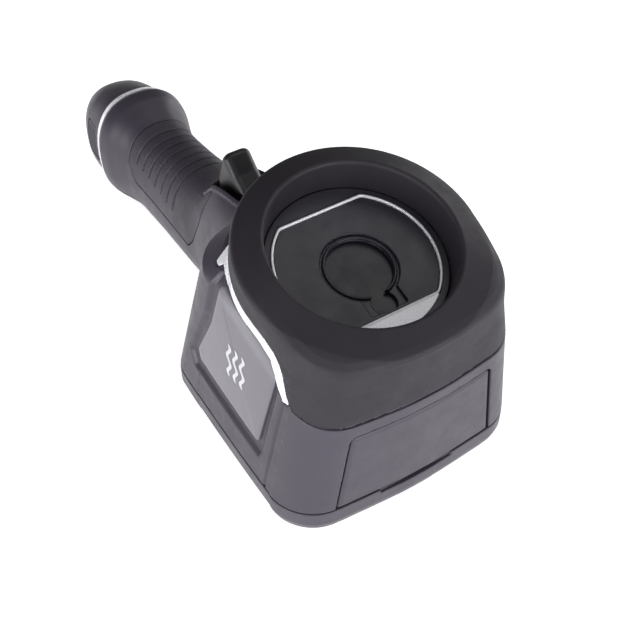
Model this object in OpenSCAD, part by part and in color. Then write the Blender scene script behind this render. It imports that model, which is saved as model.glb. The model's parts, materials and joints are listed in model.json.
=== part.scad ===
// Pistol-grip thermal imaging camera, lying on its display side with the lens up.
// Origin: centre of the footprint, on the resting plane. +Z up, +Y towards the handle's end.
// The lens has its own frame, tilted about X: its origin is the centre of the bumper's rim.

/* [Lens] */
// Tilt of the lens axis from the vertical, in degrees
lens_tilt = 15.5; // [14.5:0.5:16]
// Distance of the rim's centre from the middle of the footprint
lens_y = -81.5; // [-82:0.5:-81]
// Height of the rim's centre above the resting plane
lens_z = 89; // [88.5:0.5:90]
// Radius of the bumper's front opening
rim_r = 31.8; // [31.2:0.1:32.2]
// Outer radius of the bumper round the lens
bumper_r = 42.2; // [42:0.1:42.5]
// Radius of the bright trim round the lens plate
trim_r = 28.3; // [28.1:0.1:28.6]
// Depth of the lens plate below the rim
plate_depth = 12.4; // [12:0.1:12.6]
// Radius of the opening in the lens plate
aperture_r = 11.2; // [10.8:0.1:11.3]
// Radius of the infrared lens
ir_lens_r = 10; // [9.5:0.1:10.5]

/* [Head] */
// Height of the seam between the two housing shells
seam_z = 9.8; // [9.6:0.1:10]
// Thickness of the housing walls
wall = 2.4; // [2.2:0.1:2.6]
// Width of the display window
window_w = 66; // [64:1:68]
// Height of the display window
window_h = 50; // [48:1:52]

/* [Handle] */
// Half width of the grip
grip_half_w = 15.6; // [15.4:0.1:16]
// Depth of the rubber inlay in the grip
inlay_t = 1.5; // [1.2:0.1:1.7]
// Half width of the trigger
trigger_half_w = 5.6; // [5.2:0.1:6]
// Radius of the trigger's hinge pin
trigger_pin_r = 1.5; // [1.4:0.1:1.6]

/* [Battery] */
// Half width of the battery
battery_half_w = 11.5; // [11:0.1:11.6]
// Length of the battery inside the handle
battery_len = 74; // [70:1:75]

/* [Keys] */
// Outer radius of the navigation ring
nav_r = 12; // [11:0.5:12]
// Gap between a key and its hole
key_gap = 0.35; // [0.3:0.05:0.45]

/* [Hidden] */

$fn = 64;

// Steps on the arc of each circle of an outline
arc_steps = [6, 7, 11, 10, 11, 7];

// Ring-frame levels along the lens axis
skirt_z = -27.5;
trim_lo_z = -19.2;
trim_hi_z = -14.2;
front_wall_z = -13.2;
blade_z = -16.2;
lever_z = -21.4;

// Pivot of the lens cover in the lens frame
cover_x = 27.5;
cover_y = 14.5;
eye_y = -1.6;
camera_eye_y = -16.3;

// ---------- outlines ----------

// Angle of the outward normal of the tangent from circle a to circle b, both [x, y, r]
function tangent_angle(a, b) =
    atan2(b[1] - a[1], b[0] - a[0]) - 90 + asin((a[2] - b[2]) / norm([b[0] - a[0], b[1] - a[1]]));

// Points round the convex outline of circles given counter-clockwise
function outline(c) = [for (w = normals(c)) let (q = c[w[1]])
    [q[0] + q[2] * cos(w[0]), q[1] + q[2] * sin(w[0])]];

// Direction of the outward normal at each of those points, and which circle it is on
function normals(c) = let (m = len(c)) [
    for (i = [0 : m - 1])
        let (a = tangent_angle(c[(i + m - 1) % m], c[i]), b = tangent_angle(c[i], c[(i + 1) % m]),
            n = arc_steps[i])
                for (k = [0 : n]) [a + ((b - a + 720) % 360) * k / n, i]];

function mirrored(q) = [-q[0], q[1], q[2]];
function symmetric(crown, corner, shoulder, back) =
    [crown, corner, shoulder, back, mirrored(shoulder), mirrored(corner)];
function inset(c, d) = [for (q = c) [q[0], q[1], q[2] - d]];

// Head outline at the seam, and in the lens frame at the skirt and under the bumper
seam_circles = symmetric([0, 32, 150], [30.7, -98.5, 17.5], [33.3, -33.2, 12.2], [0, -49.6, 29.6]);
skirt_circles = symmetric([0, 103, 150], [25.3, -28.5, 16.5], [23.5, 22, 18], [0, 12, 29]);
function round_side(crown, corner, r) = symmetric(crown, corner, [0.2, 0, r - 0.2], [0, 0.01, r - 0.2]);
strip_circles = round_side([0, 75, 120], [22.7, -24.4, 18.3], bumper_r - 0.4);
neck_circles = round_side([0, 61.1, 105], [21.2, -21.9, 19.4], bumper_r - 0.3);
edge_circles = round_side([0, 47.7, 90], [19.2, -18.7, 20.9], bumper_r);

// Fall of the bumper's edge beyond its round part, per distance from the lens axis
corner_fall = 0.3;

function flat_ring(c, z) = [for (p = outline(c)) [p[0], p[1], z]];
function tilted(p, z) = [p[0], lens_y + p[1] * cos(lens_tilt) - z * sin(lens_tilt),
    lens_z + p[1] * sin(lens_tilt) + z * cos(lens_tilt)];
function lens_ring(c, z) = [for (p = outline(c)) tilted(p, z)];
function edge_ring(d, z) = [for (p = outline(inset(edge_circles, d)))
    tilted(p, z - corner_fall * max(0, norm(p) - bumper_r))];
function rim_ring(r, z) = [for (w = normals(edge_circles))
    tilted([r * cos(w[0]), r * sin(w[0])], z)];

head_rings = [flat_ring(seam_circles, seam_z), lens_ring(skirt_circles, skirt_z),
    lens_ring(strip_circles, trim_lo_z), lens_ring(neck_circles, trim_hi_z),
    edge_ring(0, -5.7), edge_ring(1.2, -3.7), edge_ring(3.4, -2.4), rim_ring(rim_r + 1.5, -0.3), rim_ring(rim_r + 0.8, 0)];
cavity_rings = [flat_ring(inset(seam_circles, wall), seam_z - 1),
    lens_ring(inset(skirt_circles, wall + 0.2), skirt_z - 1.8),
    lens_ring(inset(strip_circles, wall + 3), trim_lo_z),
    lens_ring(inset(neck_circles, wall + 3), trim_hi_z + 1)];

// Lower edge of the bumper and of the bright strip under it, in the lens frame's side view
bumper_edge = [[60, -14.1], [-10, -14.1], [-15, -14.8], [-19, -16.8], [-23, -21.4],
    [-26, -25.4], [-30, -27.4], [-80, -27.4]];
strip_edge = [[30, -22.6], [26, -22.2], [20, -20.6], [10, -19.1], [-8, -18.3], [-15, -18.9],
    [-20, -22.2], [-24, -26.4], [-28, -27.1]];

// Grip sections across the handle: y, half width, bottom, top
grip_stations = [
    [-45, 27, 2, 74], [-30, 24, 2, 69], [-18, 20.5, 2, 66.5], [-6, 18.2, 2.2, 65],
    [2, 17.2, 2.8, 62.5], [8, 16.8, 3.2, 56.5], [14, 16.6, 3.5, 52], [22, 16.3, 3.5, 49.8],
    [32, 16, 3.5, 48.4], [46, grip_half_w, 3.5, 46.6], [60, grip_half_w, 3.5, 45.5],
    [67, 16.2, 3, 46.3], [74, 18.3, 2, 49.2], [80, 20.3, 1, 51.3], [84, 20.8, 0.6, 51.6],
    [86.6, 20, 1, 50.6]];
cap_stations = [
    [90, 18.6, 1, 49], [96, 18.4, 0, 47.8], [104, 17.6, 0, 45.4], [111, 15.6, 0.6, 42],
    [116, 13, 2.4, 38], [119, 9.5, 6, 33.5], [120.8, 4, 13, 27]];
grip_power = 2.4;

// Superellipse section facing +Y, taken in by d
function section(s, d) = [
    for (k = [0 : 39]) let (t = -k * 9, c = cos(t), w = sin(t)) [
        (s[1] - d) * sign(c) * pow(abs(c), 2 / grip_power), s[0],
        (s[2] + s[3]) / 2 + ((s[3] - s[2]) / 2 - d) * sign(w) * pow(abs(w), 2 / grip_power)]];

// Closed solid through rings with the same number of points, counter-clockwise along the way
module loft(rings) {
    n = len(rings[0]);
    m = len(rings);
    sides = [for (j = [0 : m - 2], i = [0 : n - 1]) let (a = j * n + i, b = j * n + (i + 1) % n)
        each [[a, a + n, b], [b, a + n, b + n]]];
    polyhedron(
        points = [for (r = rings) each r],
        faces = concat([[for (i = [0 : n - 1]) i]], sides,
            [[for (i = [n - 1 : -1 : 0]) (m - 1) * n + i]]));
}

module grip_form(d) {
    loft([for (s = grip_stations) section(s, d)]);
}

module cap_form() {
    loft([for (s = cap_stations) section(s, 0)]);
}

// ---------- placing ----------

module in_lens_frame() {
    translate([0, lens_y, lens_z]) rotate([lens_tilt, 0, 0]) children();
}

// Upright disc or tube in the lens frame, from z = low to z = high
module lens_disc(r, low, high) {
    translate([0, 0, low]) cylinder(r = r, h = high - low);
}

module lens_prism(c, low, high) {
    translate([0, 0, low]) linear_extrude(high - low) polygon(outline(c));
}

module both_sides() {
    children();
    mirror([1, 0, 0]) children();
}

// Box given by two corners
module block(low, high) {
    translate(low) cube(high - low);
}

// Rounded bar along Z between two points in plan
module slot_2d(a, b, r) {
    hull() {
        translate(a) circle(r, $fn = 32);
        translate(b) circle(r, $fn = 32);
    }
}

module rounded_rect(w, h, r) {
    polygon(outline([[w / 2 - r, -h / 2 + r, r], [w / 2 - r, h / 2 - r, r],
        [-w / 2 + r, h / 2 - r, r], [-w / 2 + r, -h / 2 + r, r]]));
}

// ---------- head ----------

// Prism along X through a side view given in the lens frame
module lens_side_prism(pts, low, high) {
    in_lens_frame() rotate([90, 0, 90]) translate([0, 0, low]) linear_extrude(high - low) polygon(pts);
}

module head_form() {
    loft(head_rings);
}

module bumper_zone() {
    lens_side_prism(concat(bumper_edge, [[-80, 30], [60, 30]]), -60, 60);
}

// Side view of the recess for the panel, as [y, z]
panel_recess_pts = [[-90.5, 19.5], [-42, 22.3], [-37.8, 28], [-49.8, 56], [-55.5, 73.6],
    [-66.8, 73], [-84, 69.2], [-91, 66.6], [-96.3, 61]];
panel_pts = [[-87.3, 25], [-46, 28.3], [-43.9, 32], [-53.4, 52], [-59.2, 72.8],
    [-66.8, 72], [-84, 68.1], [-90.3, 65.6], [-93.6, 61.5]];
// Slope of the side wall, as sideways run per height
wall_slope = 0.105;
wall_x = 47.33;
panel_t = 1.4;

// Slab along the right-hand side wall, between two depths below its surface
module side_slab(pts, shallow, deep) {
    a = atan(wall_slope);
    translate([wall_x, 0, seam_z]) rotate([0, -a, 0]) translate([-deep, 0, -seam_z])
        rotate([90, 0, 90]) linear_extrude(deep - shallow) polygon(pts);
}

module flap_outline(grow) {
    polygon([[-32.4 - grow, seam_z], [32.4 + grow, seam_z], [28.2 + grow, 42.5],
        [26 + grow, 45 + grow], [-26 - grow, 45 + grow], [-28.2 - grow, 42.5]]);
}

// Plate standing across Y, from y = near to y = far
module across(near, far) {
    translate([0, far, 0]) rotate([90, 0, 0]) linear_extrude(far - near) children();
}

flap_face_y = -119.6;
flap_back_y = -113.6;

screw_spots = [[41, -104], [41, -50], [-41, -104], [-41, -50], [13.4, -6], [-13.4, -6]];

module screw_posts() {
    for (p = screw_spots) translate([p[0], p[1], seam_z]) cylinder(r = 3, h = 10);
}

module screw_holes(r, low, high) {
    for (p = screw_spots) translate([p[0], p[1], low]) cylinder(r = r, h = high - low);
}

trigger_y = -27;
trigger_z = 58;

module battery_bay() {
    block([-battery_half_w - 0.4, 10, seam_z], [battery_half_w + 0.4, 100, 39.4]);
}

// Room for the lever's swing, from z = low up
module lever_space(low) {
    in_lens_frame() translate([cover_x, cover_y, low]) linear_extrude(lever_z + 1.8 - low) {
        polygon([[0, 0], for (a = [36 : 6 : 120]) 40 * [cos(a), sin(a)]]);
        circle(7.2);
    }
}

module lens_disc_at(p, r, low, high) {
    translate([p[0], p[1], low]) cylinder(r = r, h = high - low);
}

module trigger_bearings() {
    intersection() {
        head_and_grip();
        both_sides() block([7.6, trigger_y - 4.5, 45], [11, trigger_y + 4.5, 64]);
    }
}

module head_and_grip() {
    head_form();
    grip_form(0);
}

// The neck's inside, which stays open towards the head
module grip_core() {
    block([-13, -60, seam_z - 1], [13, 4, 51]);
}

module head_shell() {
    difference() {
        head_form();
        bumper_zone();
        loft(cavity_rings);
        both_sides() strip_space();
        both_sides() side_slab(panel_recess_pts, -6, panel_t);
        across(flap_face_y - 5, flap_back_y) flap_outline(0.5);
    }
}

// Barrel round the lens, with the wall that the lens plate stands on
module lens_barrel_wall() {
    in_lens_frame() {
        difference() {
            lens_prism(inset(edge_circles, 4.3), skirt_z - 2, front_wall_z);
            lens_prism(inset(edge_circles, 4.3 + wall - 0.6), skirt_z - 3, front_wall_z - 1.8);
            lens_disc(28.6, -40, 0);
            block([-60, 20, -40], [60, 60, trim_lo_z + 0.7]);
        }
        difference() {
            lens_prism(inset(skirt_circles, 1.1), skirt_z - 1.5, skirt_z);
            lens_prism(inset(edge_circles, 5.2), -60, 30);
            block([-60, -12, -60], [60, 90, 30]);
        }
    }
}

module grip_walls() {
    difference() {
        intersection() {
            grip_form(0);
            block([-60, -34, seam_z], [60, 100, 90]);
        }
        inlay_space();
        battery_bay();
        block([-30, -60, seam_z - 1], [30, -24, 62]);
    }
}

module front_housing() {
    color([0.24, 0.23, 0.26]) {
        difference() {
            union() {
                head_shell();
                grip_walls();
                lens_barrel_wall();
                screw_posts();
            }
            grip_core();
            trigger_slot();
            lever_space(lever_z - 0.5);
            screw_holes(1.3, seam_z - 1, seam_z + 8);
            in_lens_frame() lens_disc_at([cover_x, cover_y], 1.27, -40, 0);
        }
        difference() {
            trigger_bearings();
            trigger_pin_bar(trigger_pin_r + 0.01, 9.6);
        }
    }
}

inlay_pts = [[14, 25], [62, 25], [67, 32], [68.5, 60], [1.5, 72], [0.5, 56], [3, 44], [9, 31]];

module inlay_space() {
    difference() {
        rotate([90, 0, 90]) translate([0, 0, -30]) linear_extrude(60) polygon(inlay_pts);
        grip_form(inlay_t);
    }
}

module grip_inlay() {
    color([0.3, 0.29, 0.32]) difference() {
        intersection() {
            grip_form(0);
            rotate([90, 0, 90]) translate([0, 0, -30]) linear_extrude(60) polygon(inlay_pts);
        }
        grip_form(inlay_t);
        trigger_slot();
    }
}

// ---------- rear housing ----------

window_y = -85.5;
nav_y = -40;
key_z = 2;
side_key = [26, -42];
power_y = -18;

module key_plan(name, gap) {
    if (name == "archive") translate([-side_key[0], side_key[1]]) rounded_rect(12 + 2 * gap, 7 + 2 * gap, 3);
    if (name == "cancel") translate(side_key) rounded_rect(12 + 2 * gap, 7 + 2 * gap, 3);
    if (name == "power") translate([0, power_y]) rounded_rect(11 + 2 * gap, 6.4 + 2 * gap, 3);
}

board_posts = [[34, -101], [34, -59], [-34, -101], [-34, -59]];

module rear_housing() {
    color([0.27, 0.26, 0.29]) {
        difference() {
            union() {
                difference() {
                    union() {
                        loft([flat_ring(inset(seam_circles, 4), 0), flat_ring(inset(seam_circles, 1.2), 1),
                            flat_ring(seam_circles, 4), flat_ring(seam_circles, seam_z)]);
                        intersection() {
                            grip_form(0);
                            block([-60, -26, -1], [60, 100, seam_z]);
                        }
                    }
                    loft([flat_ring(inset(seam_circles, wall + 2), key_z + 2.2),
                        flat_ring(inset(seam_circles, wall), 6),
                        flat_ring(inset(seam_circles, wall), seam_z + 1)]);
                    block([-13, -30, key_z + 2.2], [13, 4, 20]);
                    translate([0, 0, -1]) linear_extrude(key_z + 1) translate([0, -34])
                        rounded_rect(76, 46, 12);
                }
                for (p = screw_spots) translate([p[0], p[1], key_z + 0.5])
                    cylinder(r = 3, h = seam_z - key_z - 0.5);
                for (p = board_posts) translate([p[0], p[1], key_z + 2]) cylinder(r = 2, h = 9.2 - key_z);
            }
            translate([0, window_y, -1]) linear_extrude(2.7)
                rounded_rect(window_w + 0.4, window_h + 0.4, 3);
            block([-29, window_y - 21, 0], [29, window_y + 21, 6]);
            translate([0, nav_y, -1]) cylinder(r = nav_r + key_gap, h = 8);
            for (k = ["archive", "cancel", "power"])
                translate([0, 0, -1]) linear_extrude(8) key_plan(k, key_gap);
            screw_holes(1.5, -1, seam_z + 1);
            screw_holes(2.7, -1, 3.6);
            block([-16.6, -125, seam_z - 1.2], [16.6, -116.4, seam_z + 1]);
        }
    }
}

module housing_screws() {
    color([0.2, 0.2, 0.22]) for (p = screw_spots) translate([p[0], p[1], 0]) difference() {
        union() {
            translate([0, 0, 2.2]) cylinder(r = 2.5, h = 1.4);
            translate([0, 0, 3.5]) cylinder(r = 1.25, h = 13);
        }
        translate([0, 0, 2]) cylinder(r = 1.1, h = 1, $fn = 6);
    }
}

// ---------- front group ----------

module front_bumper() {
    color([0.17, 0.16, 0.18]) difference() {
        intersection() {
            head_form();
            bumper_zone();
        }
        in_lens_frame() {
            lens_prism(inset(edge_circles, 4.3), -60, front_wall_z);
            translate([0, 0, front_wall_z - 0.1]) cylinder(r1 = rim_r - 0.8, r2 = rim_r, h = 14);
        }
    }
}

// Plan of the lens plate: a disc cut by two chords
module plate_plan(r, cut) {
    intersection() {
        circle(r);
        translate([-40, -22.1 + cut]) square([80, 45.3 - 2 * cut]);
    }
}

module lens_bezel() {
    color([0.33, 0.33, 0.35]) in_lens_frame() difference() {
        lens_disc(rim_r - 1, front_wall_z, -plate_depth);
        translate([0, 0, front_wall_z - 1]) linear_extrude(3) plate_plan(trim_r + 0.05, -0.05);
    }
}

module lens_trim_ring() {
    color([0.86, 0.86, 0.88]) in_lens_frame() {
        translate([0, 0, front_wall_z]) linear_extrude(1.3) difference() {
            plate_plan(trim_r, 0);
            plate_plan(trim_r - 0.9, 0.9);
        }
        translate([0, 0, -plate_depth]) linear_extrude(0.4) intersection() {
            circle(trim_r);
            translate([-40, -60]) square([80, 37.9]);
        }
    }
}

module lens_front_plate() {
    color([0.13, 0.13, 0.16]) in_lens_frame() difference() {
        translate([0, 0, front_wall_z - 1.4]) linear_extrude(2) plate_plan(trim_r - 0.95, 0.95);
        translate([0, eye_y, -40]) cylinder(r = aperture_r, h = 40);
        translate([0, camera_eye_y, -40]) cylinder(r = 4.4, h = 40);
        translate([0, eye_y, -13.4]) cylinder(r = 13.2, h = 5);
        block([-6.9, -19.6, -13.4], [6.9, -8, -8]);
    }
}

module lens_cover_blade() {
    color([0.14, 0.14, 0.17]) in_lens_frame() difference() {
        translate([0, 0, blade_z]) linear_extrude(1.1) {
            translate([0, eye_y]) circle(aperture_r + 1);
            slot_2d([0, eye_y], [0, camera_eye_y], 5.3);
            slot_2d([0, eye_y + 4], [cover_x, cover_y], 3.6);
        }
        lens_disc_at([cover_x, cover_y], 1.55, -30, 0);
    }
}

module lens_cover_lever() {
    color([0.3, 0.3, 0.33]) in_lens_frame() difference() {
        translate([0, 0, lever_z]) linear_extrude(1.3) {
            translate([cover_x, cover_y]) circle(4);
            translate([cover_x, cover_y]) rotate(100) translate([0, -2.2]) square([25, 4.4]);
        }
        lens_disc_at([cover_x, cover_y], 1.55, -30, 0);
    }
}

module lens_cover_pin() {
    color([0.7, 0.7, 0.72]) in_lens_frame() {
        lens_disc_at([cover_x, cover_y], 1.5, lever_z - 1.5, front_wall_z - 1.8);
        lens_disc_at([cover_x, cover_y], 1.25, front_wall_z - 1.81, front_wall_z - 0.2);
        lens_disc_at([cover_x, cover_y], 2.6, lever_z - 1.5, lever_z - 0.2);
    }
}

module ir_lens() {
    color([0.25, 0.2, 0.3]) in_lens_frame() translate([0, eye_y, -19.5]) rotate_extrude()
        polygon([[0, -3.4], [ir_lens_r - 1, -3.4], [ir_lens_r, -2.6], [ir_lens_r, -1],
            for (k = [0 : 8]) let (r = ir_lens_r * (8 - k) / 8) [r, -1 + 1.4 * (1 - pow(r / ir_lens_r, 2))]]);
}

module ir_lens_barrel() {
    color([0.2, 0.2, 0.22]) in_lens_frame() translate([0, eye_y, 0]) difference() {
        union() {
            translate([0, 0, -40]) cylinder(r = ir_lens_r + 1.1, h = 21.4);
            block([-17, -12, -40], [17, 17, -37]);
            for (p = [[-15, -10], [-15, 15], [15, -10]])
                block([p[0] - 2, p[1] - 2, -51], [p[0] + 2, p[1] + 2, -37]);
        }
        translate([0, 0, -22.95]) cylinder(r = ir_lens_r + 0.02, h = 10);
        translate([0, 0, -41]) cylinder(r = ir_lens_r - 1.2, h = 30);
    }
}

module shutter_actuator() {
    color([0.55, 0.45, 0.2]) in_lens_frame() difference() {
        translate([15, eye_y + 8, -50]) cylinder(r = 4, h = 6.4);
        translate([15, eye_y + 8, -44.9]) cylinder(r = 0.85, h = 3);
    }
}

module shutter_flag() {
    color([0.1, 0.1, 0.1]) in_lens_frame() translate([15, eye_y + 8, 0]) {
        translate([0, 0, -44.8]) cylinder(r = 0.8, h = 3);
        translate([0, 0, -43]) linear_extrude(0.6) {
            circle(2.4);
            rotate(100) translate([0, -2]) square([10, 4]);
            translate([-3.2, 17]) circle(8.4);
        }
    }
}

module detector_housing() {
    color([0.45, 0.46, 0.48]) in_lens_frame() translate([0, eye_y, 0]) difference() {
        block([-17, -17, -62], [17, 17, -51]);
        block([-14.5, -14.5, -60], [14.5, 14.5, -50]);
    }
}

module detector_chip() {
    color([0.3, 0.32, 0.2]) in_lens_frame() translate([0, eye_y, 0]) block([-9, -9, -60], [9, 9, -56.5]);
}

// Wedge between the main board and the detector's sloping underside
module core_bracket() {
    low = lens_y + (eye_y - 17) * cos(lens_tilt) + 62 * sin(lens_tilt);
    high = lens_y + (eye_y + 17) * cos(lens_tilt) + 62 * sin(lens_tilt);
    base = lens_z + (eye_y - 17) * sin(lens_tilt) - 62 * cos(lens_tilt);
    rise = 34 * sin(lens_tilt);
    color([0.5, 0.5, 0.52]) both_sides() rotate([90, 0, 90]) translate([0, 0, 13.4]) linear_extrude(3)
        polygon([[low + 0.01, 12.8], [high, 12.8], [high, base + rise], [low + 0.01, base]]);
}

module visual_camera_lens() {
    color([0.05, 0.05, 0.1]) in_lens_frame() translate([0, camera_eye_y, -18.6]) rotate_extrude()
        polygon([[0, -1.6], [2.5, -1.6], [2.5, 0.4], for (k = [0 : 6]) let (r = 2.4 * (6 - k) / 6)
            [r, 0.4 + 0.7 * (1 - pow(r / 2.4, 2))]]);
}

module visual_camera_module() {
    color([0.16, 0.16, 0.18]) in_lens_frame() translate([0, camera_eye_y, 0]) difference() {
        union() {
            translate([0, 0, -26]) cylinder(r = 2.9, h = 5.8);
            block([-5, -6, -30], [5, 2.8, -25]);
        }
        translate([0, 0, -22]) cylinder(r = 1.6, h = 5);
    }
}

// ---------- side trim and panels ----------

// Groove under the bumper for the right-hand bright strip
module strip_space() {
    difference() {
        lens_side_prism(concat([for (i = [1 : len(bumper_edge) - 3]) bumper_edge[i] + [0, 0.2]],
            [for (i = [len(strip_edge) - 1 : -1 : 0]) strip_edge[i]], [[30, -13.9]]), 16, 60);
        loft([lens_ring(inset(skirt_circles, 1.6), skirt_z - 0.7),
            lens_ring(inset(strip_circles, 1.6), trim_lo_z),
            lens_ring(inset(neck_circles, 1.6), 0)]);
    }
}

module trim_body() {
    difference() {
        intersection() {
            head_form();
            strip_space();
        }
        bumper_zone();
    }
}

module side_trim_right() {
    color([0.88, 0.88, 0.9]) difference() {
        trim_body();
        lever_space(-30);
    }
}

module side_trim_left() {
    color([0.88, 0.88, 0.9]) mirror([1, 0, 0]) trim_body();
}

module panel_body() {
    side_slab(panel_pts, 0.5, panel_t);
}

module side_panel_right() {
    color([0.42, 0.41, 0.45]) panel_body();
}

module side_panel_left() {
    color([0.42, 0.41, 0.45]) mirror([1, 0, 0]) panel_body();
}

// ---------- trigger ----------

module trigger_slot() {
    rotate([90, 0, 90]) translate([0, 0, -7.6]) linear_extrude(15.2)
        polygon([[-40, 46], [8.4, 46], [8.4, 90], [-24, 90], [-30, 67], [-40, 67]]);
}

trigger_pts = [[-29, 53.6], [-8, 51.4], [5.4, 51.4], [6.6, 60], [2.6, 71], [0.6, 73.4], [-1.6, 73.2],
    [-7.3, 68.2], [-14, 63.6], [-20, 61.9], [-27, 62]];

module trigger() {
    color([0.15, 0.14, 0.16]) difference() {
        union() {
            rotate([90, 0, 90]) translate([0, 0, -trigger_half_w]) linear_extrude(2 * trigger_half_w)
                polygon(trigger_pts);
            translate([-trigger_half_w, trigger_y, trigger_z]) rotate([0, 90, 0])
                cylinder(r = 4.4, h = 2 * trigger_half_w);
        }
        trigger_pin_bar(trigger_pin_r + 0.05, 10);
        block([-3.2, -24, 50], [3.2, -12, 53.7]);
    }
}

module trigger_pin_bar(r, half_l) {
    translate([-half_l, trigger_y, trigger_z]) rotate([0, 90, 0]) cylinder(r = r, h = 2 * half_l);
}

module trigger_pin() {
    color([0.7, 0.7, 0.72]) trigger_pin_bar(trigger_pin_r, 9.5);
}

module trigger_spring() {
    color([0.75, 0.75, 0.78]) translate([0, -18, 0]) for (k = [0 : 5])
        translate([0, 0, 46.3 + k * 1.35]) rotate_extrude() translate([2.1, 0]) circle(0.5, $fn = 24);
}

module trigger_switch() {
    color([0.1, 0.1, 0.1]) {
        block([-5, -22, 42], [5, -6, 45.6]);
        block([-1.5, -9.5, 45.6], [1.5, -7, 48.3]);
    }
}

// ---------- flap and socket ----------

// The head below the skirt, taken in by d
module lower_head(d) {
    loft([flat_ring(inset(seam_circles, d), 0), flat_ring(inset(seam_circles, d), seam_z + 0.3),
        lens_ring(inset(skirt_circles, d), skirt_z)]);
}

module usb_flap() {
    color([0.25, 0.24, 0.27]) {
        difference() {
            intersection() {
                across(flap_face_y, flap_back_y - 0.3) flap_outline(-0.3);
                lower_head(-0.2);
            }
            lower_head(2.3);
        }
        across(flap_back_y - 2.7, flap_back_y - 1.2) translate([0, 24]) rounded_rect(16, 9, 3);
    }
}

module usb_socket() {
    color([0.7, 0.7, 0.72]) difference() {
        block([-4, -114, 22.4], [4, -107, 25.6]);
        block([-3.3, -115, 23.1], [3.3, -109, 24.9]);
    }
}

// ---------- battery ----------

module battery_case() {
    color([0.16, 0.16, 0.18]) difference() {
        translate([0, 90 - battery_len, 24.6]) rotate([-90, 0, 0]) linear_extrude(battery_len)
            rounded_rect(2 * battery_half_w, 28.4, 5);
        translate([0, 92 - battery_len, 24.6]) rotate([-90, 0, 0]) linear_extrude(battery_len - 4)
            rounded_rect(2 * battery_half_w - 2.4, 26, 4);
    }
}

module battery_cell() {
    color([0.3, 0.45, 0.6]) translate([0, 93 - battery_len, 24.6]) rotate([-90, 0, 0])
        linear_extrude(battery_len - 7) rounded_rect(2 * battery_half_w - 3, 25, 3.6);
}

module battery_trim_ring() {
    color([0.88, 0.88, 0.9]) difference() {
        loft([section([86.8, 19.8, 0.9, 50.3], 0), section([90, 18.6, 1, 49], 0)]);
        translate([0, 86, 24.6]) rotate([-90, 0, 0]) linear_extrude(6)
            rounded_rect(2 * battery_half_w + 0.1, 28.5, 5);
    }
}

latch_y = 98.5;
latch_z = 26;

module battery_end_cap() {
    color([0.26, 0.25, 0.28]) difference() {
        cap_form();
        both_sides() block([13.4, latch_y - 5.4, latch_z - 8.4], [30, latch_y + 5.4, latch_z + 8.4]);
    }
}

module latch_body() {
    intersection() {
        block([15.2, latch_y - 5, latch_z - 8], [30, latch_y + 5, latch_z + 8]);
        loft([for (s = cap_stations) section(s, 0.2)]);
    }
}

module latch_button_right() {
    color([0.3, 0.29, 0.32]) latch_body();
}

module latch_button_left() {
    color([0.3, 0.29, 0.32]) mirror([1, 0, 0]) latch_body();
}

module battery_contacts() {
    color([0.75, 0.6, 0.25]) {
        block([-10, 10.5, 14], [10, 12.5, 36]);
        for (x = [-6, -2, 2, 6]) block([x - 0.6, 12.5, 18], [x + 0.6, 15.6, 32]);
    }
}

// ---------- display and keys ----------

module display_window() {
    color([0.03, 0.03, 0.04]) translate([0, window_y, 0.5]) linear_extrude(1.2)
        rounded_rect(window_w, window_h, 2.8);
}

module display_gasket() {
    color([0.1, 0.1, 0.1]) translate([0, window_y, 1.7]) linear_extrude(0.5) difference() {
        square([58, 42], center = true);
        square([55, 39], center = true);
    }
}

module display_panel() {
    color([0.5, 0.55, 0.6]) block([-28.8, window_y - 20.8, 2.2], [28.8, window_y + 20.8, 5.4]);
}

module key_body(name) {
    color([0.2, 0.2, 0.22]) {
        translate([0, 0, 0.9]) linear_extrude(4.3) key_plan(name, 0);
        translate([0, 0, 4.3]) linear_extrude(0.9) key_plan(name, 1);
    }
}

module archive_button() {
    key_body("archive");
}

module cancel_button() {
    key_body("cancel");
}

module power_button() {
    key_body("power");
}

module select_button() {
    color([0.2, 0.2, 0.22]) translate([0, nav_y, 0.9]) cylinder(r = 5.4, h = 4.3);
}

module nav_ring() {
    color([0.24, 0.24, 0.26]) translate([0, nav_y, 0]) difference() {
        translate([0, 0, 0.9]) cylinder(r = nav_r, h = 2.3);
        cylinder(r = 6, h = 8);
    }
}

module nav_rocker() {
    color([0.15, 0.15, 0.16]) translate([0, nav_y, 0]) difference() {
        translate([0, 0, 3.8]) cylinder(r = 9, h = 0.9);
        cylinder(r = 6, h = 8);
    }
}

module keypad_mat() {
    color([0.1, 0.1, 0.1]) {
        translate([0, 0, 6.1]) linear_extrude(0.8) {
            translate([0, nav_y]) rounded_rect(68, 28, 6);
        }
        translate([0, 0, 6.1]) linear_extrude(0.8) translate([0, -20.5]) rounded_rect(18, 12, 4);
    }
}

module main_board() {
    color([0.1, 0.3, 0.15]) {
        difference() {
            block([-38, -108, 11.2], [38, -42, 12.8]);
            both_sides() translate([41, -104, 10]) cylinder(r = 5, h = 4);
            both_sides() translate([41, -50, 10]) cylinder(r = 5, h = 4);
        }
        block([-10, -96, 12.8], [10, -78, 15]);
        block([-7, -108, 12.8], [7, -102, 18]);
    }
}

// ---------- nodes ----------

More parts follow.
